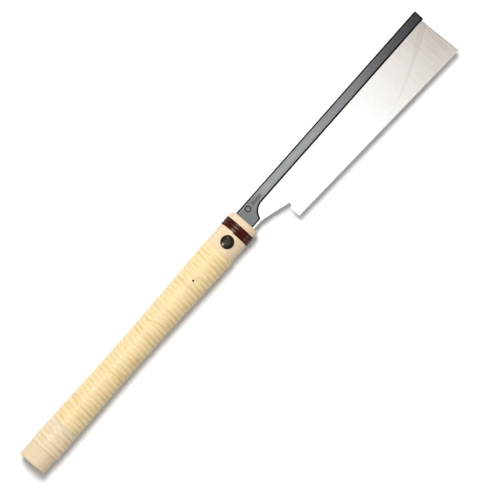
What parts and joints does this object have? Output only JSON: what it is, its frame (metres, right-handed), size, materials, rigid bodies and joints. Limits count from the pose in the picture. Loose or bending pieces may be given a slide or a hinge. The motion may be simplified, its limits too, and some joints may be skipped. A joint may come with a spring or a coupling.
{
  "type": "hand saw",
  "caption": "Back saw with a fine thin pull-stroke blade, a folded steel back and a rattan-wrapped oval wooden handle with a clamp screw.",
  "frame": {"origin": "centre of the bounding box in plan, at the lowest point of the handle as the saw lies on its side", "axes": "+X from the butt to the toe of the blade, +Y towards the back of the blade, teeth towards -Y, +Z square to the blade and up from the surface it lies on"},
  "size_m": [0.6152, 0.0672, 0.0291],
  "materials": {
    "blade_steel": "bright, fine ground",
    "back_steel": "satin gunmetal",
    "handle_wood": "bare, fine sanded",
    "socket_steel": "zinc plated",
    "dark_steel": "black oxide",
    "pale_rattan": "natural skin",
    "rattan": "natural skin",
    "lacquered_rattan": "gloss lacquer"
  },
  "bodies": {
    "handle": {"handle_upper_half": "handle_wood", "handle_lower_half": "handle_wood", "blade_socket": "socket_steel", "socket_nail": "dark_steel", "rattan_wrap_rear": "pale_rattan", "rattan_wrap_main": "rattan", "front_binding": "lacquered_rattan"},
    "blade_unit": {"saw_blade": "blade_steel", "blade_back": "back_steel"},
    "screw": {"clamp_screw": "dark_steel"},
    "nut": {"sleeve_nut": "dark_steel"}
  },
  "joints": [
    {"name": "blade_draw", "type": "slide", "parent": "handle", "child": "blade_unit", "axis": [1, 0, 0], "range_m": [0, 0.05]},
    {"name": "screw_turn", "type": "hinge", "parent": "handle", "child": "screw", "pos_m": [-0.00305, 0.01532, 0.01445], "axis": [0, 0, 1], "range_deg": [0, 720]},
    {"name": "nut_travel", "type": "slide", "parent": "handle", "child": "nut", "axis": [0, 0, -1], "range_m": [0, 0.0016]}
  ],
  "couplings": [
    {"joint": "screw_turn", "follows": "nut_travel", "rad_per_m": 7854}
  ]
}
